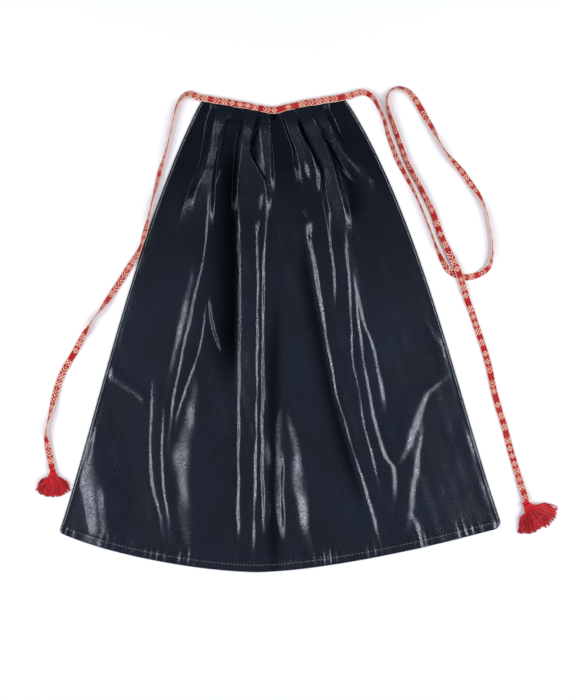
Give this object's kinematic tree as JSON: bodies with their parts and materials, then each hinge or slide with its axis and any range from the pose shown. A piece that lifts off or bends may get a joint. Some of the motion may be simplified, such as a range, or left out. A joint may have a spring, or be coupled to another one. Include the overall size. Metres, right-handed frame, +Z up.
{
  "type": "pleated costume apron with tasselled ties",
  "caption": "Glazed wool costume panel, knife-pleated into a narrow woven waistband whose long ties end in yarn tassels, laid out flat.",
  "frame": {"origin": "on the table, under the middle of the box round the panel and its waistband, ties and tassels not counted", "axes": "+Y from the hem towards the waistband, +X towards the right side as laid face up, +Z up from the table"},
  "size_m": [0.8421, 0.7925, 0.0142],
  "materials": {
    "glazed_wool": "dark navy calendered wool, smooth and shiny on the folds",
    "woven_band": "red and cream pattern-woven wool and linen, matt",
    "linen_tape": "unbleached linen, matt",
    "pale_thread": "grey-green sewing thread, matt",
    "red_thread": "dark red sewing thread, matt",
    "tassel_yarn": "bright red loose-twist wool yarn, matt and hairy"
  },
  "bodies": {
    "apron": {"cloth_panel": "glazed_wool", "hem_stitch_thread": "pale_thread", "left_edge_stitch_thread": "pale_thread", "right_edge_stitch_thread": "pale_thread", "waistband": "woven_band", "waistband_facing_tape": "linen_tape", "upper_gathering_thread": "linen_tape", "lower_gathering_thread": "linen_tape", "waistband_upper_seam_thread": "red_thread", "waistband_lower_seam_thread": "red_thread"},
    "left_tie": {"left_tie": "woven_band"},
    "left_tassel": {"left_tassel_head": "tassel_yarn", "left_tassel_neck_wrap": "red_thread", "left_tassel_skirt": "tassel_yarn"},
    "right_tie": {"right_tie": "woven_band"},
    "right_tassel": {"right_tassel_head": "tassel_yarn", "right_tassel_neck_wrap": "red_thread", "right_tassel_skirt": "tassel_yarn"}
  },
  "joints": [
    {"name": "left_tie_swing", "type": "hinge", "parent": "apron", "child": "left_tie", "pos_m": [-0.1292, 0.38855, 0.0065], "axis": [0, 0, 1], "range_deg": [-40, 0]},
    {"name": "left_tassel_swing", "type": "hinge", "parent": "left_tie", "child": "left_tassel", "pos_m": [-0.37203, -0.23068, 0.00612], "axis": [0, 0, 1], "range_deg": [-70, 0]},
    {"name": "right_tie_swing", "type": "hinge", "parent": "apron", "child": "right_tie", "pos_m": [0.1031, 0.3905, 0.0065], "axis": [0, 0, 1], "range_deg": [0, 40]},
    {"name": "right_tassel_swing", "type": "hinge", "parent": "right_tie", "child": "right_tassel", "pos_m": [0.40351, -0.28374, 0.00709], "axis": [0, 0, 1], "range_deg": [-30, 60]}
  ]
}
